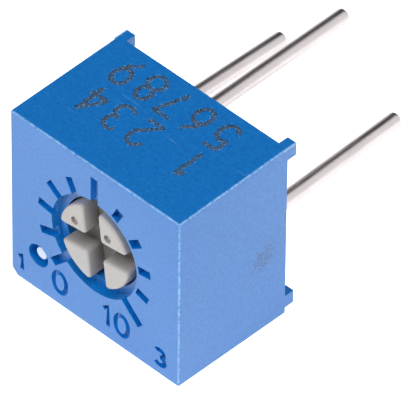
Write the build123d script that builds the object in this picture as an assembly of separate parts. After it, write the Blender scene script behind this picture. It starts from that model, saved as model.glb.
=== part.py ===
from build123d import *
import math
import os

# Square single-turn trimmer potentiometer with three round leads.
# It lies on its lower side, as it would on a bench: +X runs to the right along the adjust face,
# +Y runs from the adjust face to the lead tips, and +Z is up.
# The origin is on the rotor's axis, in the plane of the adjust face. All sizes are millimetres.
# Angles around the rotor are degrees anticlockwise from +X, looking at the adjust face.

# Board grid, which the case is drawn around
LEAD_PITCH = 2.54
LEAD_TO_SIDE = 0.95
LEAD_TO_TOP = 0.74

# Case, outside
BODY_DEPTH = 4.45
AXIS_HEIGHT = 3.32
TOP_DRAFT = 0.12
WALL = 0.33
EDGE_ROUND = 0.08
CORNER_CHAMFER = 0.24

# Feet that hold the case off the board
FOOT_PROUD = 0.42
FOOT_WIDTH = 0.36
FOOT_HEIGHT = 0.46
FOOT_ROUND = 0.10
LOWER_FOOT_RISE = 0.26

# Case, front wall and dial
FRONT_WALL = 1.33
WELL_RADIUS = 1.76
WELL_DEPTH = 0.34
TICK_COUNT = 11
TICK_WIDTH = 0.29
TICK_DEPTH = 0.22
TICK_REACH = 2.34
LONG_TICK_REACH = 2.70
FIRST_TICK_REACH = 2.44
CLOSED_TICKS = (6, 7, 8, 9)
TICK_LAND = 0.08
GATE_RADIUS = 0.40
GATE_DEPTH = 0.36
GATE_X = -2.33
GATE_Z = -1.89
GATE_STUB_RADIUS = 0.21
GATE_STUB_DEPTH = 0.14

# Travel of the rotor
TRAVEL = 270.0
TRAVEL_MIDDLE = 90.0
REST_POINTER = 97.0
STOP_SLACK = 0.5
LUG_ANGLE = 30.0

# Rotor
HEAD_RADIUS = 1.43
HEAD_PROUD = 0.02
HEAD_BACK = 0.83
HEAD_ROUND = 0.09
LOBE_CORNER = 0.12
BORE_CLEARANCE = 0.06
SLOT_WIDTH = 0.62
SLOT_DEPTH = 0.64
DIMPLE_RADIUS = 0.14
DIMPLE_DEPTH = 0.11
DIMPLES = ((43.6, 0.89), (139.0, 0.96))
FLANGE_RADIUS = 2.25
FLANGE_THICKNESS = 0.55
LUG_RADIUS = 2.62
RUNNING_GAP = 0.02
POST_RADIUS = 0.30
POST_HEAD_RADIUS = 0.44
POST_HEAD = 0.10

# Seal ring
RING_SECTION = 0.40
RING_CLEARANCE = 0.03
RING_SIDES = 8

# Cavity behind the front wall
CAVITY_RADIUS = 2.75
RIB_CLEARANCE = 0.07
CAVITY_BACK = 2.55

# Resistance element
PLATE_THICKNESS = 0.64
PLATE_CLEARANCE = 0.04
FILM = 0.04
TRACK_TO_LEAD = 0.79
TRACK_WIDTH = 0.50
TRACK_OVERRUN = 6.0
PAD_CAP_ANGLE = 14.0
PAD_GAP = 0.08
COLLECTOR_RADIUS = 0.62
VIA_RADIUS = 0.20
STRIP_WIDTH = 0.60

# Wiper spring
SPRING_THICKNESS = 0.07
SPRING_WIDTH = 0.90
SPRING_SLOT = 0.08
SPRING_BEND = 0.14
SPRING_BEND_PLACE = -1.15
SPRING_END_PLACE = 0.95
SPRING_FIT = 0.02
KNUCKLE_RUN = 0.24
KNUCKLE_RISE = 0.10
CONTACT_GAP = 0.01

# Leads
LEAD_RADIUS = 0.255
LEAD_TIP_BEVEL = 0.10
PLATE_HOLE_RADIUS = 0.28
SOLDER_RADIUS = 0.38
SOLDER_HEIGHT = 0.15
SOLDER_COVER = 0.06
SOLDER_RELIEF = 0.08
PAD_RADIUS = 0.40

LEAD_ROOT_SHIFT = {"lead_1": -0.09, "lead_2": 0.09, "lead_3": 0.0}
LEAD_LEAN = {"lead_1": 0.09, "lead_2": -0.09, "lead_3": -0.19}
LEAD_REACH = {"lead_1": 6.02, "lead_2": 6.00, "lead_3": 5.85}

# Sealing resin at the back
RESIN_RECESS = 0.16
MENISCUS_RISE = 0.10
MENISCUS_RUN = 0.16

BEYOND = 1.0


# Places worked out from the sizes above
BODY_WIDTH = 2 * (LEAD_PITCH + LEAD_TO_SIDE)
BOTTOM = -AXIS_HEIGHT
TOP_BACK = LEAD_PITCH + LEAD_TO_TOP
TOP_FRONT = TOP_BACK - TOP_DRAFT
BORE_RADIUS = HEAD_RADIUS + BORE_CLEARANCE
RING_OUTER = BORE_RADIUS - RING_CLEARANCE
NECK_RADIUS = RING_OUTER - RING_SECTION
FLANGE_FRONT = FRONT_WALL + RUNNING_GAP
FLANGE_BACK = FLANGE_FRONT + FLANGE_THICKNESS
TRACK_RADIUS = LEAD_PITCH - TRACK_TO_LEAD
TRACK_INNER = TRACK_RADIUS - TRACK_WIDTH / 2
TRACK_OUTER = TRACK_RADIUS + TRACK_WIDTH / 2
CHANNEL_DEPTH = SPRING_THICKNESS + SPRING_FIT
PLATE_FRONT = CAVITY_BACK
PLATE_BACK = PLATE_FRONT + PLATE_THICKNESS
FILM_FRONT = PLATE_FRONT - FILM
FILM_BACK = PLATE_BACK + FILM
RESIN_BACK = BODY_DEPTH - RESIN_RECESS
POCKET_WIDTH = BODY_WIDTH - 2 * WALL
POCKET_BOTTOM = BOTTOM + WALL
POCKET_TOP = TOP_BACK - WALL
POCKET_HEIGHT = POCKET_TOP - POCKET_BOTTOM
POCKET_MIDDLE = (POCKET_TOP + POCKET_BOTTOM) / 2
LEAD_ROOT = {
    "lead_1": (LEAD_ROOT_SHIFT["lead_1"] - LEAD_PITCH, 0),
    "lead_2": (LEAD_ROOT_SHIFT["lead_2"], LEAD_PITCH),
    "lead_3": (LEAD_ROOT_SHIFT["lead_3"] + LEAD_PITCH, 0),
}
FRONT_SOLDERED = ("lead_1", "lead_3")


def at_depth(y):
    """Plane parallel to the adjust face at depth y, with its own x to the right and y up."""
    return Plane(origin=(0, y, 0), x_dir=(1, 0, 0), z_dir=(0, -1, 0))


def slab(sketch, front, back):
    """Solid with the sketch's outline between two depths."""
    return extrude(at_depth(back) * sketch, amount=back - front)


def cone_at(x, z, y, wide, narrow, height, forward):
    """Cone on a level plane at depth y, narrowing towards the adjust face or away from it."""
    plane = Plane(origin=(x, y, z), z_dir=(0, -1 if forward else 1, 0))
    return plane * Cone(wide, narrow, height, align=(Align.CENTER, Align.CENTER, Align.MIN))


def ring_sector(inner, outer, start, end):
    """Flat piece of a ring between two radii and two angles."""
    sweep_angle = end - start
    outside = CenterArc((0, 0), outer, start, sweep_angle)
    inside = CenterArc((0, 0), inner, start, sweep_angle)
    ends = [Line(outside @ 0, inside @ 0), Line(outside @ 1, inside @ 1)]
    return make_face([outside, inside] + ends)


def with_rotor(solid):
    """Turns a solid that was drawn with its pointer straight up to where the rotor rests."""
    return solid.rotate(Axis((0, 0, 0), (0, -1, 0)), REST_POINTER - TRAVEL_MIDDLE)


# Case

def case_block():
    """Outer block: square front with one cut corner, and a top side that slopes for the mould."""
    half = BODY_WIDTH / 2
    outline = Polygon(
        (-half, TOP_BACK),
        (-half, BOTTOM + CORNER_CHAMFER),
        (-half + CORNER_CHAMFER, BOTTOM),
        (half, BOTTOM),
        (half, TOP_BACK),
        align=None,
    )
    side = Polygon(
        (0, BOTTOM),
        (BODY_DEPTH, BOTTOM),
        (BODY_DEPTH, TOP_BACK),
        (0, TOP_FRONT),
        align=None,
    )
    wedge = extrude(Plane.YZ * side, amount=half, both=True)
    block = slab(outline, 0, BODY_DEPTH) & wedge
    rim = block.edges().filter_by_position(Axis.Y, BODY_DEPTH, BODY_DEPTH)
    return fillet(block.edges() - rim, EDGE_ROUND)


def foot(side, low):
    """One foot on the back rim, flush with the side wall, drawn from the height of its lower edge."""
    outer = side * BODY_WIDTH / 2
    inner = outer - side * FOOT_WIDTH
    middle = ((outer + inner) / 2, low + FOOT_HEIGHT / 2)
    block = slab(Pos(*middle) * Rectangle(FOOT_WIDTH, FOOT_HEIGHT), RESIN_BACK, BODY_DEPTH + FOOT_PROUD)
    tip = block.faces().sort_by(Axis.Y)[-1]
    return fillet(tip.edges(), FOOT_ROUND)


def feet():
    """Four feet: two level with the top side, and two a little above the lower side."""
    heights = (TOP_BACK - FOOT_HEIGHT, BOTTOM + LOWER_FOOT_RISE)
    return [foot(side, low) for side in (-1, 1) for low in heights]


def dial_ticks():
    """Radial marks round the well, one for each tenth of the travel. Most of them open into it."""
    step = TRAVEL / (TICK_COUNT - 1)
    first = TRAVEL_MIDDLE + TRAVEL / 2
    marks = []
    for number in range(TICK_COUNT):
        reach = TICK_REACH
        if number in (TICK_COUNT // 2, TICK_COUNT - 1):
            reach = LONG_TICK_REACH
        if number == 0:
            reach = FIRST_TICK_REACH
        inner = WELL_RADIUS - TICK_DEPTH
        if number in CLOSED_TICKS:
            inner = WELL_RADIUS + TICK_LAND
        bar = Pos((inner + reach) / 2, 0) * Rectangle(reach - inner, TICK_WIDTH)
        marks.append(slab(Rot(0, 0, first - number * step) * bar, 0, TICK_DEPTH))
    return marks


def gate_mark():
    """Ring sunk round the stub that the mould's gate left, so that the stub stays below the face."""
    place = Pos(GATE_X, GATE_Z)
    ring = place * Circle(GATE_RADIUS) - place * Circle(GATE_STUB_RADIUS)
    top = place * Circle(GATE_RADIUS)
    return slab(ring, -BEYOND, GATE_DEPTH) + slab(top, -BEYOND, GATE_STUB_DEPTH)


def stop_rib():
    """Rib inside the cavity that the rotor's lug meets at both ends of its travel."""
    half = (360 - TRAVEL - LUG_ANGLE) / 2 - STOP_SLACK
    inner = FLANGE_RADIUS + RIB_CLEARANCE
    outer = CAVITY_RADIUS + WALL / 2
    rib = ring_sector(inner, outer, TRAVEL_MIDDLE - half, TRAVEL_MIDDLE + half)
    return slab(rib, FRONT_WALL, FLANGE_BACK)


def solder_reliefs():
    """Pockets in the seat ledge that leave room for the two solder domes on the front of the plate."""
    depth = FILM + SOLDER_HEIGHT + SOLDER_RELIEF
    round_pocket = Circle(SOLDER_RADIUS + SOLDER_RELIEF)
    places = [Pos(*LEAD_ROOT[name]) for name in FRONT_SOLDERED]
    return [slab(place * round_pocket, PLATE_FRONT - depth, PLATE_FRONT) for place in places]


def housing():
    """Moulded case, open at the back: dial and rotor bore in front, seat and resin pocket behind."""
    pocket = Pos(0, POCKET_MIDDLE) * Rectangle(POCKET_WIDTH, POCKET_HEIGHT)
    case = case_block() + feet()
    case -= slab(pocket, CAVITY_BACK, BODY_DEPTH + BEYOND)
    case -= slab(Circle(CAVITY_RADIUS), FRONT_WALL, CAVITY_BACK)
    case += stop_rib()
    case -= solder_reliefs()
    case -= slab(Circle(BORE_RADIUS), -BEYOND, FRONT_WALL)
    case -= slab(Circle(WELL_RADIUS), -BEYOND, WELL_DEPTH)
    case -= dial_ticks()
    case -= gate_mark()
    return case


# Rotor and what turns with it

def lobes():
    """Outline of the four lobes that two crossing screwdriver slots leave, with rounded corners."""
    length = 2 * HEAD_RADIUS + BEYOND
    bars = Rectangle(SLOT_WIDTH, length) + Rectangle(length, SLOT_WIDTH)
    outline = Circle(HEAD_RADIUS) - bars
    return fillet(outline.vertices(), LOBE_CORNER)


def rotor_head():
    """Round head with its lobes standing in front of the slots, their front edges rounded."""
    floor = SLOT_DEPTH - HEAD_PROUD
    lobe = slab(lobes(), -HEAD_PROUD, floor)
    fronts = lobe.edges().group_by(Axis.Y)[0]
    return fillet(fronts, HEAD_ROUND) + slab(Circle(HEAD_RADIUS), floor, HEAD_BACK)


def dimples():
    """Two round marks on the upper lobes, each at its own angle and radius."""
    marks = []
    for angle, place in DIMPLES:
        mark = Rot(0, 0, angle) * Pos(place, 0) * Circle(DIMPLE_RADIUS)
        marks.append(slab(mark, -BEYOND, DIMPLE_DEPTH - HEAD_PROUD))
    return marks


def spring_channel():
    """Channel in the back of the flange that keeps the wiper spring from turning."""
    width = SPRING_WIDTH + 2 * SPRING_FIT
    low = SPRING_BEND_PLACE - SPRING_BEND - SPRING_THICKNESS
    high = SPRING_END_PLACE + SPRING_FIT
    channel = Pos(0, (low + high) / 2) * Rectangle(width, high - low)
    return slab(channel, FLANGE_BACK - CHANNEL_DEPTH, FLANGE_BACK)


def rotor():
    """One moulding: slotted head, neck for the seal ring, flange with stop lug, and riveted post."""
    body = rotor_head() - dimples()
    body += slab(Circle(NECK_RADIUS), HEAD_BACK, FLANGE_FRONT)
    body += slab(Circle(FLANGE_RADIUS), FLANGE_FRONT, FLANGE_BACK)
    lug_middle = TRAVEL_MIDDLE + 180
    lug = ring_sector(NECK_RADIUS, LUG_RADIUS, lug_middle - LUG_ANGLE / 2, lug_middle + LUG_ANGLE / 2)
    body += slab(lug, FLANGE_FRONT, FLANGE_BACK)
    body -= spring_channel()
    body += slab(Circle(POST_RADIUS), FLANGE_BACK - CHANNEL_DEPTH, FLANGE_BACK)
    rivet_front = FLANGE_BACK - CHANNEL_DEPTH + SPRING_THICKNESS
    body += slab(Circle(POST_HEAD_RADIUS), rivet_front, rivet_front + POST_HEAD)
    return with_rotor(body)


def o_ring():
    """Rubber ring on the rotor's neck, drawn with flats where the neck and the bore press on it."""
    middle = (HEAD_BACK + FLANGE_FRONT) / 2
    half = RING_SECTION / 2
    section = RegularPolygon(half, RING_SIDES, major_radius=False, rotation=180 / RING_SIDES)
    return revolve(Plane.YZ * Pos(middle, NECK_RADIUS + half) * section, Axis.Y)


def strip(points, radius):
    """Cross-section of bent sheet metal along a line of points given as (height, depth)."""
    path = Plane.YZ * FilletPolyline(*[(y, z) for z, y in points], radius=radius)
    profile = offset(path, amount=SPRING_THICKNESS / 2, side=Side.BOTH, kind=Kind.INTERSECTION)
    return make_face(profile)


def finger(tip_place, low, high):
    """Spring leg from the plate round the bend to a knuckle that presses on the film."""
    sheet = SPRING_THICKNESS / 2
    plate_y = FLANGE_BACK - CHANNEL_DEPTH + sheet
    leg_y = plate_y + 2 * SPRING_BEND
    contact_y = FILM_FRONT - CONTACT_GAP - sheet
    back = SPRING_BEND_PLACE - SPRING_BEND
    points = (
        (SPRING_END_PLACE, plate_y),
        (back, plate_y),
        (back, leg_y),
        (tip_place - KNUCKLE_RUN, contact_y - KNUCKLE_RISE),
        (tip_place, contact_y),
        (tip_place + KNUCKLE_RUN, contact_y - KNUCKLE_RISE),
    )
    profile = strip(points, SPRING_BEND * 0.9)
    return Pos((low + high) / 2, 0, 0) * extrude(profile, amount=(high - low) / 2, both=True)


def wiper():
    """Contact spring: two outer fingers sweep the track and the middle one rests on the collector."""
    half = SPRING_WIDTH / 2
    prong = (SPRING_WIDTH - 2 * SPRING_SLOT) / 3
    spring = finger(TRACK_RADIUS, -half, -half + prong)
    spring += finger(TRACK_RADIUS, half - prong, half)
    spring += finger(0, -prong / 2, prong / 2)
    plate_y = FLANGE_BACK - CHANNEL_DEPTH
    low = SPRING_BEND_PLACE + SPRING_BEND
    plate = Pos(0, (low + SPRING_END_PLACE) / 2) * Rectangle(SPRING_WIDTH, SPRING_END_PLACE - low)
    spring += slab(plate, plate_y, plate_y + SPRING_THICKNESS)
    spring -= slab(Circle(POST_RADIUS), plate_y, plate_y + SPRING_THICKNESS)
    return with_rotor(spring)


# Resistance element

def element_plate():
    """Ceramic plate on the seat ledge, with a hole for each lead and one for the centre contact."""
    width = POCKET_WIDTH - 2 * PLATE_CLEARANCE
    height = POCKET_HEIGHT - 2 * PLATE_CLEARANCE
    outline = Pos(0, POCKET_MIDDLE) * Rectangle(width, height)
    for root in LEAD_ROOT.values():
        outline -= Pos(*root) * Circle(PLATE_HOLE_RADIUS)
    outline -= Circle(VIA_RADIUS)
    return slab(outline, PLATE_FRONT, PLATE_BACK)


def track_ends():
    """First and last angle of the resistive film, a little past the wiper's travel."""
    half = TRAVEL / 2 - TRACK_OVERRUN / 2
    return TRAVEL_MIDDLE - half, TRAVEL_MIDDLE + half


def resistive_track():
    """Horseshoe of resistive film on the front of the plate."""
    return slab(ring_sector(TRACK_INNER, TRACK_OUTER, *track_ends()), FILM_FRONT, PLATE_FRONT)


def end_pad(name, turn):
    """Silver pad from one end of the track to its lead, round the outside of the track."""
    root = Vector(*LEAD_ROOT[name])
    start, end = track_ends()
    edge = end if turn > 0 else start
    far = edge + turn * PAD_CAP_ANGLE
    near = 180 if turn > 0 else 0
    reach = root.length - LEAD_RADIUS
    pad = ring_sector(TRACK_INNER, reach, min(edge, far), max(edge, far))
    pad += ring_sector(TRACK_OUTER + PAD_GAP, reach, min(near, far), max(near, far))
    pad += Pos(root.X, root.Y) * Circle(PAD_RADIUS)
    pad -= Pos(root.X, root.Y) * Circle(LEAD_RADIUS)
    return slab(pad, FILM_FRONT, PLATE_FRONT)


def collector():
    """Centre contact on the front, filled hole through the plate, and strip to lead 2 on the back."""
    root = Vector(*LEAD_ROOT["lead_2"])
    turn = math.degrees(math.atan2(root.Y, root.X))
    metal = slab(Circle(COLLECTOR_RADIUS), FILM_FRONT, PLATE_FRONT)
    metal += slab(Circle(VIA_RADIUS), PLATE_FRONT, PLATE_BACK)
    path = Rot(0, 0, turn) * Pos(root.length / 2, 0) * Rectangle(root.length, STRIP_WIDTH)
    path += Circle(STRIP_WIDTH / 2)
    path += Pos(root.X, root.Y) * Circle(PAD_RADIUS)
    path -= Pos(root.X, root.Y) * Circle(LEAD_RADIUS)
    return metal + slab(path, PLATE_BACK, FILM_BACK)


# Leads, solder and resin

def lead(name):
    """Round wire, straight out of the case, then leaning a little to its sheared and bevelled tip."""
    x, z = LEAD_ROOT[name]
    start = FILM_FRONT - SOLDER_HEIGHT + SOLDER_COVER if name in FRONT_SOLDERED else PLATE_FRONT
    inner = slab(Pos(x, z) * Circle(LEAD_RADIUS), start, BODY_DEPTH)
    direction = Vector(LEAD_LEAN[name], LEAD_REACH[name], 0)
    bend = Plane(origin=(x, BODY_DEPTH, z), z_dir=direction)
    outer = extrude(bend * Circle(LEAD_RADIUS), amount=direction.length)
    outer = chamfer(outer.edges().sort_by(Axis.Y)[-1], LEAD_TIP_BEVEL)
    knee = Pos(x, BODY_DEPTH, z) * Sphere(LEAD_RADIUS)
    return inner + outer + knee


def solder_joint(name):
    """Solder round a lead: a dome in front of the plate, or a fillet behind it for lead 2."""
    forward = name in FRONT_SOLDERED
    start = FILM_FRONT if forward else FILM_BACK
    narrow = LEAD_RADIUS + SOLDER_COVER / 2
    return cone_at(*LEAD_ROOT[name], start, SOLDER_RADIUS, narrow, SOLDER_HEIGHT, forward) - lead(name)


def resin():
    """Resin that closes the back: it climbs the walls and the leads a little."""
    middle = Pos(0, POCKET_MIDDLE)
    outline = middle * Rectangle(POCKET_WIDTH, POCKET_HEIGHT)
    inset = middle * Rectangle(POCKET_WIDTH - 2 * MENISCUS_RUN, POCKET_HEIGHT - 2 * MENISCUS_RUN)
    block = slab(outline, PLATE_BACK, RESIN_BACK + MENISCUS_RISE)
    top = at_depth(RESIN_BACK + MENISCUS_RISE) * outline
    dish = loft([at_depth(RESIN_BACK) * inset, top])
    block -= dish
    room = slab(outline, RESIN_BACK, BODY_DEPTH)
    for name, root in LEAD_ROOT.items():
        rim = LEAD_RADIUS + MENISCUS_RUN
        block += cone_at(*root, RESIN_BACK, rim, LEAD_RADIUS, MENISCUS_RISE, False) & room
        block -= lead(name)
    return block - collector() - solder_joint("lead_2")


def build():
    """Every piece by its node's name."""
    pieces = {
        "housing": housing(),
        "rotor": rotor(),
        "o_ring": o_ring(),
        "wiper": wiper(),
        "element_plate": element_plate(),
        "resistive_track": resistive_track(),
        "end_pad_1": end_pad("lead_1", 1),
        "end_pad_3": end_pad("lead_3", -1),
        "collector": collector(),
        "sealing_resin": resin(),
    }
    for name in LEAD_ROOT:
        pieces[name] = lead(name)
        pieces[name.replace("lead", "solder")] = solder_joint(name)
    return pieces


os.makedirs("parts", exist_ok=True)
for node, piece in build().items():
    export_step(piece, f"parts/{node}.step")
    print(node, round(piece.volume, 4))
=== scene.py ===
import math

import bmesh
import bpy
from mathutils import Matrix, Vector, noise


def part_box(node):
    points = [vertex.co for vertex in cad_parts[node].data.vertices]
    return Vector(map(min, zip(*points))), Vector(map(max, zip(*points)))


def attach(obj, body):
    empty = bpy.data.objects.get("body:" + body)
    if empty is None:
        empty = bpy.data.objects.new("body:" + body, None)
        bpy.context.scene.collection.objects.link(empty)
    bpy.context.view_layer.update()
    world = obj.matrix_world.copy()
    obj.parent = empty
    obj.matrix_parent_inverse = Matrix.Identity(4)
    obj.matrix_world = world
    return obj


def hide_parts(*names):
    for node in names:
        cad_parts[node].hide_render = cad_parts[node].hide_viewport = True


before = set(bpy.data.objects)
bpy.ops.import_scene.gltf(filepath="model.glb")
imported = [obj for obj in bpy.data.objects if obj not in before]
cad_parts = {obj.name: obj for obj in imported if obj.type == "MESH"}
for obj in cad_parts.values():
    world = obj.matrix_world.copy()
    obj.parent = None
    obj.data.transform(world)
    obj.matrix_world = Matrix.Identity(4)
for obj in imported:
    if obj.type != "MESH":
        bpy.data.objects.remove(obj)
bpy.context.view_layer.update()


# The bench. The part lies on a sheet of white acrylic under two soft boxes, with a large panel
# behind it and a card at its left, the way small parts are photographed for a catalogue. The sheet
# is lit from below too. The camera stands far off with a long lens.
MM = 0.001
BENCH_HALF = 1.0        # m, half the sheet's side
BENCH_GAP = 0.002       # mm, between the sheet and the case's lowest side
SHEET_WHITE = "f7f7f6"
SHEET_GLOW = 0.82
ROOM_LIGHT = 0.03
# Each light's name, its place and side in metres, and its power in watts. All face the part.
SOFT_BOXES = [
    ("front_light", (-0.06, -0.42, 0.42), 0.30, 2.25),
    ("top_light", (0.14, -0.08, 0.56), 0.25, 1.70),
    ("back_panel", (0.62, 0.62, 0.48), 1.40, 7.2),
    ("side_card", (-0.82, 0.52, 0.17), 0.42, 0.55),
]
# The camera's place in mm, its axes and its focal length in pixels come from the photograph's
# edges, fitted to the case's own sizes.
EYE = Vector((128.502, -127.202, 169.290))
RIGHT = Vector((0.71063328, 0.70351706, 0.00800600))
DOWN = Vector((0.48218969, -0.47871760, -0.73370469))
AHEAD = Vector((-0.51234115, 0.52525538, -0.67942132))
FOCAL_PX = 8488.3
FRAME_PX = (412, 400)
CENTRE_PX = (203.26, 200.69)


def linear(code):
    """The linear colour of an sRGB hex value, such as "0a64be"."""
    channels = [int(code[i:i + 2], 16) / 255 for i in (0, 2, 4)]
    return tuple(c / 12.92 if c <= 0.04045 else ((c + 0.055) / 1.055) ** 2.4
                 for c in channels) + (1.0,)


def add(tree, kind, inputs=None, **settings):
    """Adds a node. An input goes by its name, or by its number where names repeat. One that is
    given a socket, or a node, is linked to it or to its first live output, and any other value is
    set on the input."""
    made = tree.nodes.new(kind)
    for key, value in settings.items():
        setattr(made, key, value)
    for key, value in (inputs or {}).items():
        if isinstance(key, int):
            socket = made.inputs[key]
        else:
            socket = next(s for s in made.inputs if s.enabled and s.name == key)
        if isinstance(value, bpy.types.Node):
            value = next(s for s in value.outputs if s.enabled)
        if isinstance(value, bpy.types.NodeSocket):
            tree.links.new(value, socket)
        else:
            socket.default_value = value
    return made


def new_material(name):
    """An empty material and its node tree."""
    material = bpy.data.materials.new(name)
    material.use_nodes = True
    material.node_tree.nodes.clear()
    return material, material.node_tree


def link_object(name, data):
    """A new object at the origin that shows the data."""
    made = bpy.data.objects.new(name, data)
    bpy.context.scene.collection.objects.link(made)
    return made


bench_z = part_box("housing")[0].z - BENCH_GAP * MM
corners = [(x * BENCH_HALF, y * BENCH_HALF, bench_z)
           for x, y in ((-1, -1), (1, -1), (1, 1), (-1, 1))]
bench_mesh = bpy.data.meshes.new("bench")
bench_mesh.from_pydata(corners, [], [(0, 1, 2, 3)])
bench = link_object("bench", bench_mesh)
# White acrylic, cast and sanded: an even white with no gloss, that glows with the light below it.
acrylic, tree = new_material("white_acrylic")
shade = add(tree, "ShaderNodeBsdfPrincipled", {
    "Base Color": linear(SHEET_WHITE), "Roughness": 0.6, "Emission Color": linear("ffffff"),
    "Emission Strength": SHEET_GLOW})
add(tree, "ShaderNodeOutputMaterial", {"Surface": shade})
bench_mesh.materials.append(acrylic)

world = bpy.data.worlds.new("studio")
world.use_nodes = True
background = world.node_tree.nodes["Background"]
background.inputs["Color"].default_value = linear("ffffff")
background.inputs["Strength"].default_value = ROOM_LIGHT
bpy.context.scene.world = world

for name, place, side, power in SOFT_BOXES:
    data = bpy.data.lights.new(name, "AREA")
    data.size = side
    data.energy = power
    light = link_object(name, data)
    light.location = place
    light.rotation_euler = (-Vector(place)).to_track_quat("-Z", "Y").to_euler()

camera_data = bpy.data.cameras.new("camera")
camera_data.sensor_fit = "HORIZONTAL"
camera_data.lens = FOCAL_PX / FRAME_PX[0] * camera_data.sensor_width
camera_data.shift_x = (FRAME_PX[0] / 2 - CENTRE_PX[0]) / FRAME_PX[0]
camera_data.shift_y = (CENTRE_PX[1] - FRAME_PX[1] / 2) / FRAME_PX[0]
camera_data.clip_start = 0.01
camera_data.clip_end = 5.0
camera = link_object("camera", camera_data)
turn = Matrix((RIGHT, -DOWN, -AHEAD)).transposed().to_4x4()
camera.matrix_world = Matrix.Translation(EYE * MM) @ turn
bpy.context.scene.camera = camera
bpy.context.scene.view_settings.view_transform = "Standard"


# The case. One moulding in blue glass-filled polyester, open at the back. The faces come off a
# spark-eroded mould with a fine grain, and the recessed marks and the rotor's well off polished
# pins. The walls of those recesses are painted a lighter blue than the faces, as painted light for
# the light that the translucent plastic scatters into them. Sizes are in mm.
HALF_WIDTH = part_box("housing")[1].x / MM
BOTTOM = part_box("housing")[0].z / MM
TOP_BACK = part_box("housing")[1].z / MM
BODY_DEPTH = 4.45
TOP_DRAFT = 0.12        # the top side is this much lower at the front than at the back
MERGE_WITHIN = 0.0005   # a CAD mesh's loose corners this close are one corner
SLIVER = 0.0001         # edges shorter than this are dissolved
CREASE = math.radians(35)
ARC_STEPS = 28
STROKE_RADIUS = 0.088
STROKE_DEPTH = 0.17
# Dial numbers at the two ends of the travel, and the numbers of the two outer terminals: the text,
# the left edge and foot of its first numeral, its height and the width given to each numeral.
FACE_MARKS = [
    ("0", -1.74, -2.82, 0.85, 1.00),
    ("10", 0.22, -2.82, 0.85, 0.62),
    ("1", -3.28, -2.92, 0.62, 0.55),
    ("3", 2.50, -2.92, 0.64, 0.60),
]
CASE_BLUE = "0069b6"
CASE_BLUE_DEEP = "0064ae"
CASE_BLUE_PALE = "2f8ac8"
# Lighter blue of the polished recess walls: painted light for the light scattered into the
# recesses.
CASE_BLUE_POLISHED_LIGHTENED = "007fd6"
CASE_SHADE = "004b8c"
# Pale of the hair scratches and rubbed edges; along the edges it is also a painted highlight.
CASE_RUBBED_AND_HIGHLIT = "9cc8ee"
CASE_GRAIN = 0.045      # pitch of the eroded grain, drawn coarser than it is so that it shows
CASE_FLOW = 1.6         # drifts of tone where the melt flowed
CASE_MOTTLE = 0.11      # patches where more glass fibre shows at the skin
MOULD_ROUND = 0.02      # radius that the mould leaves on every edge
EDGE_ROUND = 0.08       # how far in from an edge the pale band reaches, rubbed by handling and painted as an edge highlight
RUB_AND_HIGHLIGHT_PATCH = 0.10
SCRATCH_WIDTH = 0.05
SCRATCH_STRETCH = 0.035
SCRATCH_LEAN = 0.05     # radians off the case's width
SCUFF = Vector((HALF_WIDTH, 3.5, -0.4))
SCUFF_SPECK = 0.075
SCUFF_CORE = 0.20
SCUFF_REACH = 0.75
GATE = Vector((-2.33, 0.14, -1.89))
GATE_RING_RADIUS = 0.42
# The polished pins' finish, in a lighter blue that is painted light, starts this far in from the
# case's sides and this far below its top, and lies between these depths in its front. Floors deeper
# than the last value are eroded.
LIGHTENED_POLISH_INSIDE = 0.10
LIGHTENED_POLISH_BELOW_TOP = 0.23
LIGHTENED_POLISH_DEPTHS = (0.004, 1.0)
DEEP_FLOOR = 0.20


def as_mesh(made):
    """The plain mesh that an object's curve or modifiers come to."""
    bpy.context.view_layer.update()
    depsgraph = bpy.context.evaluated_depsgraph_get()
    return bpy.data.meshes.new_from_object(made.evaluated_get(depsgraph))


def smooth(mesh, crease):
    """Shades a mesh smooth except across edges sharper than the crease angle."""
    for attribute in ("custom_normal", "sharp_edge", "sharp_face"):
        if attribute in mesh.attributes:
            mesh.attributes.remove(mesh.attributes[attribute])
    mesh.polygons.foreach_set("use_smooth", [True] * len(mesh.polygons))
    mesh.set_sharp_from_angle(angle=crease)


def finished_copy(node, name):
    """A merged, smooth-shaded copy of a CAD node's mesh, which may then be changed."""
    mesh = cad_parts[node].data.copy()
    mesh.name = name
    mesh.materials.clear()
    shape = bmesh.new()
    shape.from_mesh(mesh)
    bmesh.ops.remove_doubles(shape, verts=shape.verts, dist=MERGE_WITHIN * MM)
    bmesh.ops.dissolve_degenerate(shape, edges=shape.edges, dist=SLIVER * MM)
    shape.to_mesh(mesh)
    shape.free()
    smooth(mesh, CREASE)
    return link_object(name, mesh)


def arc(cx, cz, rx, rz, start, end):
    """Points along part of an ellipse, in degrees anticlockwise from +X."""
    steps = [math.radians(start + (end - start) * i / ARC_STEPS) for i in range(ARC_STEPS + 1)]
    return [(cx + rx * math.cos(a), cz + rz * math.sin(a)) for a in steps]


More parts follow.
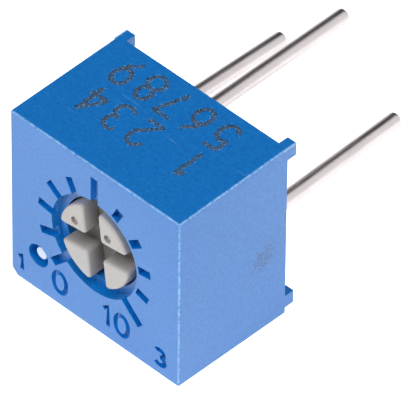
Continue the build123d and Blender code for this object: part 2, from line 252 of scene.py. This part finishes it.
# Single-stroke numerals, one unit high, as an engraver's pantograph or a marking laser draws them.
NUMERALS = {
    "0": [arc(0.36, 0.50, 0.31, 0.46, 90, 450)],
    "1": [[(0.20, 0.76), (0.42, 0.95), (0.42, 0.04)]],
    "2": [arc(0.36, 0.69, 0.29, 0.27, 165, -38) + [(0.07, 0.04), (0.68, 0.04)]],
    "3": [arc(0.34, 0.73, 0.27, 0.22, 150, -85), arc(0.35, 0.28, 0.31, 0.24, 85, -150)],
    "4": [[(0.54, 0.04), (0.54, 0.95), (0.06, 0.30), (0.72, 0.30)]],
    "5": [[(0.62, 0.95), (0.17, 0.95), (0.12, 0.56)] + arc(0.36, 0.34, 0.30, 0.29, 130, -150)],
    "6": [[(0.60, 0.95), (0.30, 0.74), (0.12, 0.50)] + arc(0.38, 0.32, 0.29, 0.28, 160, 520)],
    "7": [[(0.07, 0.95), (0.68, 0.95), (0.28, 0.04)]],
    "8": [arc(0.36, 0.73, 0.25, 0.22, 270, 630), arc(0.36, 0.27, 0.30, 0.24, 90, 450)],
    "9": [[(0.12, 0.05), (0.42, 0.26), (0.60, 0.50)] + arc(0.34, 0.68, 0.29, 0.28, -20, 340)],
}


def numeral_cutter(letter, left, foot, height):
    """The solid that one engraved numeral is cut with: its strokes swept with an oval section."""
    data = bpy.data.curves.new("cutter", "CURVE")
    data.dimensions = "3D"
    data.bevel_depth = STROKE_RADIUS * MM
    data.bevel_resolution = 3
    data.use_fill_caps = True
    for points in NUMERALS[letter]:
        closed = math.dist(points[0], points[-1]) < 1e-6
        points = points[:-1] if closed else points
        spline = data.splines.new("POLY")
        spline.points.add(len(points) - 1)
        for point, (u, v) in zip(spline.points, points):
            point.co = ((left + u * height) * MM, 0.0, (foot + v * height) * MM, 1.0)
        spline.use_cyclic_u = closed
    swept = link_object("cutter_line", data)
    cutter = link_object("cutter", as_mesh(swept))
    bpy.data.objects.remove(swept)
    for vertex in cutter.data.vertices:
        vertex.co.y *= STROKE_DEPTH / STROKE_RADIUS
    return cutter


case = finished_copy("housing", "case")
for text, left, foot, height, pitch in FACE_MARKS:
    for count, letter in enumerate(text):
        cutter = numeral_cutter(letter, left + count * pitch, foot, height)
        cut = case.modifiers.new("cut", "BOOLEAN")
        cut.operation = "DIFFERENCE"
        cut.solver = "EXACT"
        cut.use_self = True
        cut.object = cutter
        cut_mesh = as_mesh(case)
        case.modifiers.remove(cut)
        case.data = cut_mesh
        bpy.data.objects.remove(cutter)
smooth(case.data, CREASE)


def rubbed_and_highlit_edges(tree, place):
    """A mask that rises along the case's edges, broken up by noise: skin rubbed pale by handling,
    and a painted highlight along the rounded edges."""
    at = add(tree, "ShaderNodeSeparateXYZ", {"Vector": place})
    side = add(tree, "ShaderNodeMath", {0: at.outputs["X"]}, operation="ABSOLUTE")
    roof = add(tree, "ShaderNodeMapRange", {
        "Value": at.outputs["Y"], "From Min": 0.0, "From Max": BODY_DEPTH * MM,
        "To Min": (TOP_BACK - TOP_DRAFT) * MM, "To Max": TOP_BACK * MM}, clamp=False)
    under = add(tree, "ShaderNodeMath", {0: roof, 1: at.outputs["Z"]}, operation="SUBTRACT")
    near = {}
    for face, value, at_face, inside in (
        ("side", side, HALF_WIDTH, HALF_WIDTH - EDGE_ROUND),
        ("front", at.outputs["Y"], 0.0, EDGE_ROUND),
        ("top", under, 0.0, EDGE_ROUND),
        ("bottom", at.outputs["Z"], BOTTOM, BOTTOM + EDGE_ROUND),
    ):
        near[face] = add(tree, "ShaderNodeMapRange", {
            "Value": value, "From Min": at_face * MM, "From Max": inside * MM,
            "To Min": 1.0, "To Max": 0.0})
    mask = None
    for first, second in (("side", "front"), ("side", "top"), ("side", "bottom"),
                          ("front", "top"), ("front", "bottom")):
        both = add(tree, "ShaderNodeMath", {0: near[first], 1: near[second]}, operation="MULTIPLY")
        if mask is not None:
            both = add(tree, "ShaderNodeMath", {0: mask, 1: both}, operation="MAXIMUM")
        mask = both
    patch = add(tree, "ShaderNodeTexNoise", {"Vector": place, "Scale": 1 / (RUB_AND_HIGHLIGHT_PATCH * MM),
                                             "Detail": 4.0})
    broken = add(tree, "ShaderNodeMath", {0: mask, 1: patch}, operation="MULTIPLY")
    return add(tree, "ShaderNodeMapRange", {"Value": broken, "From Min": 0.10, "From Max": 0.32,
                                            "To Min": 0.0, "To Max": 0.62})


def hair_scratches(tree, place):
    """A mask of a few fine scratches that run nearly along the case's width."""
    lean = add(tree, "ShaderNodeMapping", {"Vector": place, "Rotation": (0.0, 0.0, SCRATCH_LEAN),
                                           "Scale": (SCRATCH_STRETCH, 1.0, 1.0)})
    hair = add(tree, "ShaderNodeTexNoise", {"Vector": lean, "Scale": 1 / (SCRATCH_WIDTH * MM),
                                            "Detail": 2.0})
    return add(tree, "ShaderNodeMapRange", {"Value": hair, "From Min": 0.70, "From Max": 0.78,
                                            "To Min": 0.0, "To Max": 0.22})


def scuffed_patch(tree, place):
    """A mask of dark specks, close together at the scuff on the right side and gone past it."""
    away = add(tree, "ShaderNodeVectorMath", {0: place, 1: SCUFF * MM}, operation="DISTANCE")
    near = add(tree, "ShaderNodeMapRange", {
        "Value": away.outputs["Value"], "From Min": SCUFF_CORE * MM, "From Max": SCUFF_REACH * MM,
        "To Min": 0.34, "To Max": 0.0})
    speck = add(tree, "ShaderNodeTexNoise", {"Vector": place, "Scale": 1 / (SCUFF_SPECK * MM),
                                             "Detail": 1.0})
    bite = add(tree, "ShaderNodeMath", {0: speck, 1: near}, operation="ADD")
    return add(tree, "ShaderNodeMapRange", {"Value": bite, "From Min": 0.74, "From Max": 0.84,
                                            "To Min": 0.0, "To Max": 0.90})


def case_material(name, roughness, blue, pale, grain_height, worn_and_edge_lit):
    """Blue glass-filled polyester, moulded: an opaque colour under a thin resin skin, so a satin
    surface that glances pale, mottled where fibres show. Where it is worn it has hair scratches, a
    scuff and pale edges, which are partly rubbed and partly a painted edge highlight."""
    material, tree = new_material(name)
    place = add(tree, "ShaderNodeTexCoord").outputs["Object"]
    grain = add(tree, "ShaderNodeTexNoise", {"Vector": place, "Scale": 1 / (CASE_GRAIN * MM),
                                             "Detail": 3.0, "Roughness": 0.6})
    flow = add(tree, "ShaderNodeTexNoise", {"Vector": place, "Scale": 1 / (CASE_FLOW * MM),
                                            "Detail": 4.0})
    fibre = add(tree, "ShaderNodeTexNoise", {"Vector": place, "Scale": 1 / (CASE_MOTTLE * MM),
                                             "Detail": 6.0, "Roughness": 0.7})
    sunk = add(tree, "ShaderNodeMapRange", {"Value": fibre, "From Min": 0.32, "From Max": 0.55,
                                            "To Min": 0.32, "To Max": 0.0})
    shown = add(tree, "ShaderNodeMapRange", {"Value": fibre, "From Min": 0.45, "From Max": 0.80,
                                             "To Min": 0.0, "To Max": pale})
    layers = [(flow, CASE_BLUE), (sunk, CASE_SHADE), (shown, CASE_BLUE_PALE)]
    if worn_and_edge_lit:
        layers += [(hair_scratches(tree, place), CASE_RUBBED_AND_HIGHLIT),
                   # Pale edges: rubbed by handling, and a painted highlight along the rounded
                   # edges.
                   (rubbed_and_highlit_edges(tree, place), CASE_RUBBED_AND_HIGHLIT),
                   (scuffed_patch(tree, place), CASE_SHADE)]
    tone = linear(blue)
    for mask, colour in layers:
        tone = add(tree, "ShaderNodeMix", {"Factor": mask, "A": tone, "B": linear(colour)},
                   data_type="RGBA")
    polish = add(tree, "ShaderNodeMapRange", {
        "Value": grain, "From Min": 0.3, "From Max": 0.7,
        "To Min": roughness - 0.05, "To Max": roughness + 0.05})
    edge = add(tree, "ShaderNodeBevel", {"Radius": MOULD_ROUND * MM}, samples=6)
    bump = add(tree, "ShaderNodeBump", {"Height": grain, "Strength": 1.0,
                                        "Distance": grain_height * MM, "Normal": edge})
    shade = add(tree, "ShaderNodeBsdfPrincipled", {
        "Base Color": tone, "Roughness": polish, "IOR": 1.60, "Normal": bump})
    add(tree, "ShaderNodeOutputMaterial", {"Surface": shade})
    return material


case.data.materials.clear()
case.data.materials.append(
    case_material("blue_polyester_eroded", 0.36, CASE_BLUE_DEEP, 0.25, 0.004, True))
case.data.materials.append(
    case_material("blue_polyester_polished_lightened", 0.30, CASE_BLUE_POLISHED_LIGHTENED, 0.0, 0.0006, False))
# The gate's ring takes the polished finish and its painted lighter blue throughout, its floor too.
for polygon in case.data.polygons:
    x, y, z = polygon.center / MM
    across = abs(x) < HALF_WIDTH - LIGHTENED_POLISH_INSIDE
    upright = BOTTOM + LIGHTENED_POLISH_INSIDE < z < TOP_BACK - LIGHTENED_POLISH_BELOW_TOP
    sunk = LIGHTENED_POLISH_DEPTHS[0] < y < LIGHTENED_POLISH_DEPTHS[1]
    by_gate = math.hypot(x - GATE.x, z - GATE.z) < GATE_RING_RADIUS
    deep_floor = y > DEEP_FLOOR and polygon.normal.y < -0.95 and not by_gate
    polygon.material_index = 1 if across and upright and sunk and not deep_floor else 0
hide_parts("housing")
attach(case, "case")


# The broken gate. The mould's gate tears off inside its sunk ring beside terminal 1. The torn stub
# is rough, and coloured nearly white. Sizes are in mm.
GATE_STUB_RADIUS = 0.21
GATE_STUB_HEIGHT = 0.055
GATE_STUB_SUNK = 0.004
GATE_TEAR = 0.06        # size of the lumps in the torn face
GATE_FIBRE = 0.05
GATE_FIBRE_HEIGHT = 0.006
GATE_BLUE = "a9bfe0"
GATE_NEAR_WHITE = "e6ebf4"
GATE_RINGS = 8
GATE_SPOKES = 32

shape = bmesh.new()
rows = []
for ring in range(GATE_RINGS + 1):
    reach = GATE_STUB_RADIUS * (1 - ring / GATE_RINGS)
    row = []
    for spoke in range(GATE_SPOKES if ring < GATE_RINGS else 1):
        angle = 2 * math.pi * spoke / GATE_SPOKES
        x, z = GATE.x + reach * math.cos(angle), GATE.z + reach * math.sin(angle)
        rough = noise.noise(Vector((x, 0, z)) / GATE_TEAR) * 0.5 + 0.5
        rise = GATE_STUB_HEIGHT * math.sin(math.pi / 2 * ring / GATE_RINGS) * (0.5 + 0.7 * rough)
        if ring == 0:
            rise = -GATE_STUB_SUNK
        row.append(shape.verts.new((x * MM, (GATE.y - rise) * MM, z * MM)))
    rows.append(row)
for outer, inner in zip(rows, rows[1:]):
    for spoke in range(GATE_SPOKES):
        following = (spoke + 1) % GATE_SPOKES
        if len(inner) == 1:
            shape.faces.new((outer[spoke], outer[following], inner[0]))
        else:
            shape.faces.new((outer[spoke], outer[following], inner[following], inner[spoke]))
shape.faces.new(reversed(rows[0]))
bmesh.ops.recalc_face_normals(shape, faces=shape.faces)
gate_mesh = bpy.data.meshes.new("torn_gate")
shape.to_mesh(gate_mesh)
shape.free()
smooth(gate_mesh, math.radians(50))
# Torn glass-filled polyester: dull, blotched from pale blue to nearly white.
torn, tree = new_material("polyester_torn")
place = add(tree, "ShaderNodeTexCoord").outputs["Object"]
pulled = add(tree, "ShaderNodeTexNoise", {"Vector": place, "Scale": 1 / (GATE_FIBRE * MM),
                                          "Detail": 4.0})
tone = add(tree, "ShaderNodeMix", {"Factor": pulled, "A": linear(GATE_BLUE),
                                   "B": linear(GATE_NEAR_WHITE)}, data_type="RGBA")
bump = add(tree, "ShaderNodeBump", {"Height": pulled, "Strength": 1.0,
                                    "Distance": GATE_FIBRE_HEIGHT * MM})
shade = add(tree, "ShaderNodeBsdfPrincipled", {
    "Base Color": tone, "Roughness": 0.75, "IOR": 1.60, "Normal": bump})
add(tree, "ShaderNodeOutputMaterial", {"Surface": shade})
gate_mesh.materials.append(torn)
gate = link_object("torn_gate", gate_mesh)
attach(gate, "case")


# The marks on the top side. A laser burns plain numbers into the finished case, upside down to
# someone who faces the dial. It leaves ragged charred strokes, with pale specks of foamed plastic
# on them and along their edges. Sizes are in mm.

# Each row's text, its first numeral's place across the case, the step to the next numeral, and how
# far the row is from the front.
TOP_ROWS = [
    ("56789", 1.81, -1.00, 3.50),
    ("1", 1.91, -1.00, 1.98),
    ("234", 0.01, -1.00, 1.98),
]
TOP_NUMERAL = (0.96, 1.22)
NUMERAL_MIDDLE = (0.36, 0.5)
CHAR_SPACING = 0.035
CHAR_WIDTH = 0.135
CHAR_THICKNESS = 0.006
CHAR_RAGGED = 0.20
CHAR_LUMP = 0.055
CHAR_TONES = ("14283f", "3f6186")
SPECK_SPACING = 0.055
SPECKS_AT_ONCE = 2
SPECK_SEED = 11
SPECK_SPREAD = 0.105
SPECK_LIFT = 0.001
SPECK_SUNK = 0.0025
SPECK_RADIUS = 0.014
SPECK_THICKNESS = 0.008
SPECK_SIDES = 6
SPECK_TONES = ("2a78b4", "8fc0e0")
BURN_PATCH = 0.06


def new_group(name, start, sizes, result):
    """A Geometry Nodes tree with a named input for each size, and its input node."""
    group = bpy.data.node_groups.new(name, "GeometryNodeTree")
    group.interface.new_socket(start, in_out="INPUT", socket_type="NodeSocketGeometry")
    for label, kind in sizes.items():
        group.interface.new_socket(label, in_out="INPUT", socket_type="NodeSocket" + kind)
    group.interface.new_socket("Finish", in_out="INPUT", socket_type="NodeSocketMaterial")
    group.interface.new_socket(result, in_out="OUTPUT", socket_type="NodeSocketGeometry")
    return group, add(group, "NodeGroupInput")


def end_group(group, given, geometry, result):
    """Ends a Geometry Nodes tree in real geometry with its finish on."""
    real = add(group, "GeometryNodeRealizeInstances", {"Geometry": geometry})
    dressed = add(group, "GeometryNodeSetMaterial", {"Geometry": real,
                                                     "Material": given.outputs["Finish"]})
    add(group, "NodeGroupOutput", {result: dressed})


def grown(name, mesh, group, values):
    """The piece that a Geometry Nodes tree makes from a mesh, as a plain mesh of its own."""
    made = link_object(name, mesh)
    modifier = made.modifiers.new(group.name, "NODES")
    modifier.node_group = group
    for item in group.interface.items_tree:
        if item.name in values:
            modifier[item.identifier] = values[item.name]
    plain = as_mesh(made)
    made.modifiers.remove(modifier)
    made.data = plain
    return made


points, edges = [], []
for text, first, pitch, across in TOP_ROWS:
    for count, letter in enumerate(text):
        for line in NUMERALS[letter]:
            base = len(points)
            for u, v in line:
                x = first + count * pitch - (u - NUMERAL_MIDDLE[0]) * TOP_NUMERAL[0]
                y = across - (v - NUMERAL_MIDDLE[1]) * TOP_NUMERAL[1]
                z = TOP_BACK - TOP_DRAFT * (1 - y / BODY_DEPTH)
                points.append((x * MM, y * MM, z * MM))
            edges += [(base + i, base + i + 1) for i in range(len(line) - 1)]
strokes = bpy.data.meshes.new("top_strokes")
strokes.from_pydata(points, edges, [])

# The charred stroke: a thin strip swept along each line, with its edges pushed about by noise.
score, given = new_group("laser_score", "Strokes", {
    "Spacing": "Float", "Width": "Float", "Thickness": "Float", "Ragged": "Float"}, "Marks")
line = add(score, "GeometryNodeMeshToCurve", {"Mesh": given.outputs["Strokes"]})
even = add(score, "GeometryNodeResampleCurve", {"Curve": line, "Length": given.outputs["Spacing"]},
           mode="LENGTH")
level = add(score, "GeometryNodeSetCurveNormal", {"Curve": even}, mode="Z_UP")
section = add(score, "GeometryNodeCurvePrimitiveQuadrilateral", {
    "Width": given.outputs["Width"], "Height": given.outputs["Thickness"]})
strip = add(score, "GeometryNodeCurveToMesh", {"Curve": level, "Profile Curve": section,
                                               "Fill Caps": True})
wander = add(score, "ShaderNodeTexNoise", {"Scale": 1 / (CHAR_LUMP * MM), "Detail": 2.0})
swing = add(score, "ShaderNodeVectorMath", {0: wander.outputs["Color"], 1: (0.5, 0.5, 0.5)},
            operation="SUBTRACT")
level_only = add(score, "ShaderNodeCombineXYZ", {"X": given.outputs["Ragged"],
                                                 "Y": given.outputs["Ragged"]})
push = add(score, "ShaderNodeVectorMath", {0: swing, 1: level_only}, operation="MULTIPLY")
ragged = add(score, "GeometryNodeSetPosition", {"Geometry": strip, "Offset": push})
end_group(score, given, ragged, "Marks")

# The foamed specks: small thin prisms, scattered about each line and turned at random.
foam, given = new_group("laser_spots", "Strokes", {
    "Spacing": "Float", "Spots": "Int", "Spread": "Float", "Lift": "Float",
    "Spot Radius": "Float", "Seed": "Int"}, "Marks")
seed = given.outputs["Seed"]
line = add(foam, "GeometryNodeMeshToCurve", {"Mesh": given.outputs["Strokes"]})
along = add(foam, "GeometryNodeCurveToPoints", {"Curve": line, "Length": given.outputs["Spacing"]},
            mode="LENGTH")
crowd = add(foam, "GeometryNodeDuplicateElements", {
    "Geometry": along, "Amount": given.outputs["Spots"]}, domain="POINT")
spread = given.outputs["Spread"]
back = add(foam, "ShaderNodeMath", {0: spread, 1: -1.0}, operation="MULTIPLY")
least = add(foam, "ShaderNodeCombineXYZ", {"X": back, "Y": back, "Z": -SPECK_SUNK * MM})
most = add(foam, "ShaderNodeCombineXYZ", {"X": spread, "Y": spread, "Z": given.outputs["Lift"]})
stray = add(foam, "FunctionNodeRandomValue", {"Min": least, "Max": most, "Seed": seed},
            data_type="FLOAT_VECTOR")
moved = add(foam, "GeometryNodeSetPosition", {"Geometry": crowd, "Offset": stray})
prism = add(foam, "GeometryNodeMeshCylinder", {
    "Vertices": SPECK_SIDES, "Radius": given.outputs["Spot Radius"],
    "Depth": SPECK_THICKNESS * MM}, fill_type="NGON")
size = add(foam, "FunctionNodeRandomValue", {"Min": 0.5, "Max": 1.25, "Seed": seed},
           data_type="FLOAT")
twist = add(foam, "FunctionNodeRandomValue", {
    "Min": (0.0, 0.0, 0.0), "Max": (0.0, 0.0, math.tau), "Seed": seed}, data_type="FLOAT_VECTOR")
placed = add(foam, "GeometryNodeInstanceOnPoints", {"Points": moved, "Instance": prism,
                                                    "Rotation": twist, "Scale": size})
end_group(foam, given, placed, "Marks")


def burnt(name, first, second):
    """What the laser leaves of the polyester: dull, in two tones that change within a speck's
    width."""
    material, tree = new_material(name)
    place = add(tree, "ShaderNodeTexCoord").outputs["Object"]
    speck = add(tree, "ShaderNodeTexNoise", {"Vector": place, "Scale": 1 / (BURN_PATCH * MM),
                                             "Detail": 3.0})
    tone = add(tree, "ShaderNodeMix", {"Factor": speck, "A": linear(first), "B": linear(second)},
               data_type="RGBA")
    shade = add(tree, "ShaderNodeBsdfPrincipled", {"Base Color": tone, "Roughness": 0.7})
    add(tree, "ShaderNodeOutputMaterial", {"Surface": shade})
    return material


charred = burnt("polyester_charred", *CHAR_TONES)
foamed = burnt("polyester_foamed", *SPECK_TONES)
char = grown("laser_char", strokes.copy(), score, {
    "Spacing": CHAR_SPACING * MM, "Width": CHAR_WIDTH * MM, "Thickness": CHAR_THICKNESS * MM,
    "Ragged": CHAR_RAGGED * MM, "Finish": charred})
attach(char, "case")
specks = grown("laser_foam", strokes.copy(), foam, {
    "Spacing": SPECK_SPACING * MM, "Spots": SPECKS_AT_ONCE, "Spread": SPECK_SPREAD * MM,
    "Lift": SPECK_LIFT * MM, "Spot Radius": SPECK_RADIUS * MM, "Seed": SPECK_SEED,
    "Finish": foamed})
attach(specks, "case")


# The rotor. One moulding in warm grey polyamide: a head with a cross slot for the blade, a neck for
# the seal ring and a flange behind the front wall. It is put in from the back of the case. Sizes
# are in mm.
HEAD_RADIUS = 1.43
# The slot's painted shade: the depth it starts at, the floor, and how far from the middle it is
# deepest.
SLOT_SHADE_FROM = 0.10
SLOT_FLOOR = 0.62
SLOT_SHADE_WITHIN = 0.85
ROTOR_GRAIN = 0.05      # pitch of the grain, drawn coarser than it is so that it shows
ROTOR_GRAIN_HEIGHT = 0.003
ROTOR_DRIFT = 0.9
ROTOR_ROUND = 0.025     # radius that the mould leaves on every edge
ROTOR_WARM = "a59d97"
ROTOR_COOL = "a1a1a2"
# Colour of the painted shade in the slot.
ROTOR_SLOT_SHADE = "635e5a"

rotor = finished_copy("rotor", "rotor_head")
# Grey polyamide, moulded: a fine matt grain and slow drifts of tone. The slot is painted darker
# towards its floor and its middle, as painted shade.
polyamide, tree = new_material("grey_polyamide_moulded")
place = add(tree, "ShaderNodeTexCoord").outputs["Object"]
grain = add(tree, "ShaderNodeTexNoise", {"Vector": place, "Scale": 1 / (ROTOR_GRAIN * MM),
                                         "Detail": 3.0})
cloud = add(tree, "ShaderNodeTexNoise", {"Vector": place, "Scale": 1 / (ROTOR_DRIFT * MM),
                                         "Detail": 4.0})
tone = add(tree, "ShaderNodeMix", {"Factor": cloud, "A": linear(ROTOR_WARM),
                                   "B": linear(ROTOR_COOL)}, data_type="RGBA")
# Painted shade: the slot's colour darkens with depth and towards the rotor's middle.
at = add(tree, "ShaderNodeSeparateXYZ", {"Vector": place})
depth = add(tree, "ShaderNodeMapRange", {
    "Value": at.outputs["Y"], "From Min": SLOT_SHADE_FROM * MM, "From Max": SLOT_FLOOR * MM,
    "To Min": 0.0, "To Max": 1.0})
level = add(tree, "ShaderNodeCombineXYZ", {"X": at.outputs["X"], "Z": at.outputs["Z"]})
reach = add(tree, "ShaderNodeVectorMath", {0: level}, operation="LENGTH")
inward = add(tree, "ShaderNodeMapRange", {
    "Value": reach.outputs["Value"], "From Min": SLOT_SHADE_WITHIN * MM,
    "From Max": HEAD_RADIUS * MM, "To Min": 0.98, "To Max": 0.35})
slot_shade = add(tree, "ShaderNodeMath", {0: depth, 1: inward}, operation="MULTIPLY")
tone = add(tree, "ShaderNodeMix", {"Factor": slot_shade, "A": tone, "B": linear(ROTOR_SLOT_SHADE)},
           data_type="RGBA")
edge = add(tree, "ShaderNodeBevel", {"Radius": ROTOR_ROUND * MM}, samples=6)
bump = add(tree, "ShaderNodeBump", {"Height": grain, "Strength": 1.0,
                                    "Distance": ROTOR_GRAIN_HEIGHT * MM, "Normal": edge})
shade = add(tree, "ShaderNodeBsdfPrincipled", {
    "Base Color": tone, "Roughness": 0.5, "IOR": 1.53, "Normal": bump})
add(tree, "ShaderNodeOutputMaterial", {"Surface": shade})
rotor.data.materials.append(polyamide)
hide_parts("rotor")
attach(rotor, "turning_rotor")


# The leads. Three pieces of tinned copper wire, drawn round and cut with shears, so that each end
# has a flat face with a rolled rim. They pass through the plate and are held by solder and resin.
# Sizes are in mm.
LEAD_RADIUS = 0.255
LEAD_SIDES = 40
TIP_ROUND = 0.10
TIP_STEPS = 8
LEAD_KNEE = 4.45        # a lead leans only from where it leaves the case
DRAWN_LINE = 0.06       # width of the lines that the die leaves, drawn coarser so that they show
DRAWN_LINE_STRETCH = 0.06
DRAWN_LINE_HEIGHT = 0.002
TIN_PATCH = 0.7
TIN_TONES = ("beb7b8", "d0c9ca")
# Each lead's place in the case, its tip's place, and how far back its tip is.
LEAD_PATHS = {
    "lead_1": ((-2.63, 0.0), (-2.54, 0.0), 10.47),
    "lead_2": ((0.09, 2.54), (0.0, 2.54), 10.45),
    "lead_3": ((2.54, 0.0), (2.35, 0.0), 10.30),
}

wire, given = new_group("drawn_wire", "Path", {"Radius": "Float", "Sides": "Int"}, "Wire")
girth = add(wire, "GeometryNodeInputNamedAttribute", {"Name": "girth"}, data_type="FLOAT")
path = add(wire, "GeometryNodeMeshToCurve", {"Mesh": given.outputs["Path"]})
section = add(wire, "GeometryNodeCurvePrimitiveCircle", {
    "Resolution": given.outputs["Sides"], "Radius": given.outputs["Radius"]})
swept = add(wire, "GeometryNodeCurveToMesh", {
    "Curve": path, "Profile Curve": section, "Scale": girth.outputs["Attribute"],
    "Fill Caps": True})
end_group(wire, given, swept, "Wire")

# Tinned copper, drawn: a bright, slightly dulled metal with fine lines along the wire, and tin that
# is a little warmer in patches.
tin, tree = new_material("tinned_copper_drawn")
place = add(tree, "ShaderNodeTexCoord").outputs["Object"]
stretch = add(tree, "ShaderNodeMapping", {"Vector": place,
                                          "Scale": (1.0, DRAWN_LINE_STRETCH, 1.0)})
streak = add(tree, "ShaderNodeTexNoise", {"Vector": stretch, "Scale": 1 / (DRAWN_LINE * MM),
                                          "Detail": 4.0})
patch = add(tree, "ShaderNodeTexNoise", {"Vector": place, "Scale": 1 / (TIN_PATCH * MM),
                                         "Detail": 3.0})
tone = add(tree, "ShaderNodeMix", {"Factor": patch, "A": linear(TIN_TONES[0]),
                                   "B": linear(TIN_TONES[1])}, data_type="RGBA")
polish = add(tree, "ShaderNodeMapRange", {"Value": streak, "From Min": 0.3, "From Max": 0.7,
                                          "To Min": 0.30, "To Max": 0.42})
bump = add(tree, "ShaderNodeBump", {"Height": streak, "Strength": 1.0,
                                    "Distance": DRAWN_LINE_HEIGHT * MM})
shade = add(tree, "ShaderNodeBsdfPrincipled", {
    "Base Color": tone, "Metallic": 1.0, "Roughness": polish, "Normal": bump})
add(tree, "ShaderNodeOutputMaterial", {"Surface": shade})

for name, (root, tip, end) in LEAD_PATHS.items():
    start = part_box(name)[0].y / MM
    rim = [math.radians(90 * i / TIP_STEPS) for i in range(TIP_STEPS + 1)]
    stations = [(start, 1.0), (LEAD_KNEE, 1.0)]
    stations += [(end - TIP_ROUND * (1 - math.sin(a)),
                  1 - TIP_ROUND / LEAD_RADIUS * (1 - math.cos(a))) for a in rim]
    points = []
    for y, _ in stations:
        share = max(0.0, (y - LEAD_KNEE) / (end - LEAD_KNEE))
        x, z = (a + (b - a) * share for a, b in zip(root, tip))
        points.append((x * MM, y * MM, z * MM))
    mesh = bpy.data.meshes.new(name + "_wire")
    mesh.from_pydata(points, [(i, i + 1) for i in range(len(points) - 1)], [])
    girths = mesh.attributes.new("girth", "FLOAT", "POINT")
    girths.data.foreach_set("value", [size for _, size in stations])
    lead = grown(name + "_wire", mesh, wire, {"Radius": LEAD_RADIUS * MM, "Sides": LEAD_SIDES,
                                              "Finish": tin})
    smooth(lead.data, math.radians(40))
    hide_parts(name)
    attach(lead, "case")


# The sealing resin. Pale epoxy poured into the open back, where it creeps up the walls and the
# leads before it cures. Sizes are in mm.
RESIN_CLOUD = 0.8
RESIN_RIPPLE = 0.09
RESIN_RIPPLE_HEIGHT = 0.004
RESIN_TONES = ("cfc5a8", "ded6bf")

poured = finished_copy("sealing_resin", "resin_pour")
# Cream epoxy, poured: a smooth, slightly uneven gloss, clouded where the filler has settled.
epoxy, tree = new_material("cream_epoxy_poured")
place = add(tree, "ShaderNodeTexCoord").outputs["Object"]
cloud = add(tree, "ShaderNodeTexNoise", {"Vector": place, "Scale": 1 / (RESIN_CLOUD * MM),
                                         "Detail": 5.0})
ripple = add(tree, "ShaderNodeTexNoise", {"Vector": place, "Scale": 1 / (RESIN_RIPPLE * MM),
                                          "Detail": 2.0})
tone = add(tree, "ShaderNodeMix", {"Factor": cloud, "A": linear(RESIN_TONES[0]),
                                   "B": linear(RESIN_TONES[1])}, data_type="RGBA")
bump = add(tree, "ShaderNodeBump", {"Height": ripple, "Strength": 0.6,
                                    "Distance": RESIN_RIPPLE_HEIGHT * MM})
shade = add(tree, "ShaderNodeBsdfPrincipled", {
    "Base Color": tone, "Roughness": 0.28, "IOR": 1.55, "Normal": bump})
add(tree, "ShaderNodeOutputMaterial", {"Surface": shade})
poured.data.materials.append(epoxy)
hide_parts("sealing_resin")
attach(poured, "case")


# The parts sealed inside: the ceramic plate with its printed films, the contact spring, the seal
# ring and the solder. They keep the shape that the solids give them.
def drifting_finish(name, first, second, size, roughness, metallic=0.0):
    """A finish whose colour and polish drift between two tones over patches of a size in mm."""
    material, tree = new_material(name)
    place = add(tree, "ShaderNodeTexCoord").outputs["Object"]
    cloud = add(tree, "ShaderNodeTexNoise", {"Vector": place, "Scale": 1 / (size * MM),
                                             "Detail": 4.0})
    tone = add(tree, "ShaderNodeMix", {"Factor": cloud, "A": linear(first), "B": linear(second)},
               data_type="RGBA")
    polish = add(tree, "ShaderNodeMapRange", {"Value": cloud, "To Min": roughness * 0.85,
                                              "To Max": roughness * 1.15})
    shade = add(tree, "ShaderNodeBsdfPrincipled", {
        "Base Color": tone, "Metallic": metallic, "Roughness": polish})
    add(tree, "ShaderNodeOutputMaterial", {"Surface": shade})
    return material


# Fired alumina is chalky and matt, and cermet film near black with a soft sheen. Fired silver and
# reflowed solder are dull bright metals, rolled nickel silver a yellowish one, and the rubber ring
# is rust red and smooth.
alumina = drifting_finish("alumina_fired", "e6e3da", "f0eee7", 0.20, 0.60)
cermet = drifting_finish("cermet_film_fired", "16161a", "24242a", 0.08, 0.35)
silver = drifting_finish("silver_film_fired", "c2c0ba", "d6d4cf", 0.10, 0.38, 1.0)
spring = drifting_finish("nickel_silver_rolled", "b7aa86", "c9bf9f", 0.30, 0.25, 1.0)
rubber = drifting_finish("silicone_rubber_moulded", "6b2416", "7a2c1c", 0.25, 0.55)
solder = drifting_finish("solder_reflowed", "aeafb2", "c6c7ca", 0.15, 0.24, 1.0)
INSIDE = {
    "element_plate": alumina,
    "resistive_track": cermet,
    "end_pad_1": silver,
    "end_pad_3": silver,
    "collector": silver,
    "wiper": spring,
    "o_ring": rubber,
    "solder_1": solder,
    "solder_2": solder,
    "solder_3": solder,
}
for node, material in INSIDE.items():
    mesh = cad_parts[node].data
    mesh.materials.clear()
    mesh.materials.append(material)
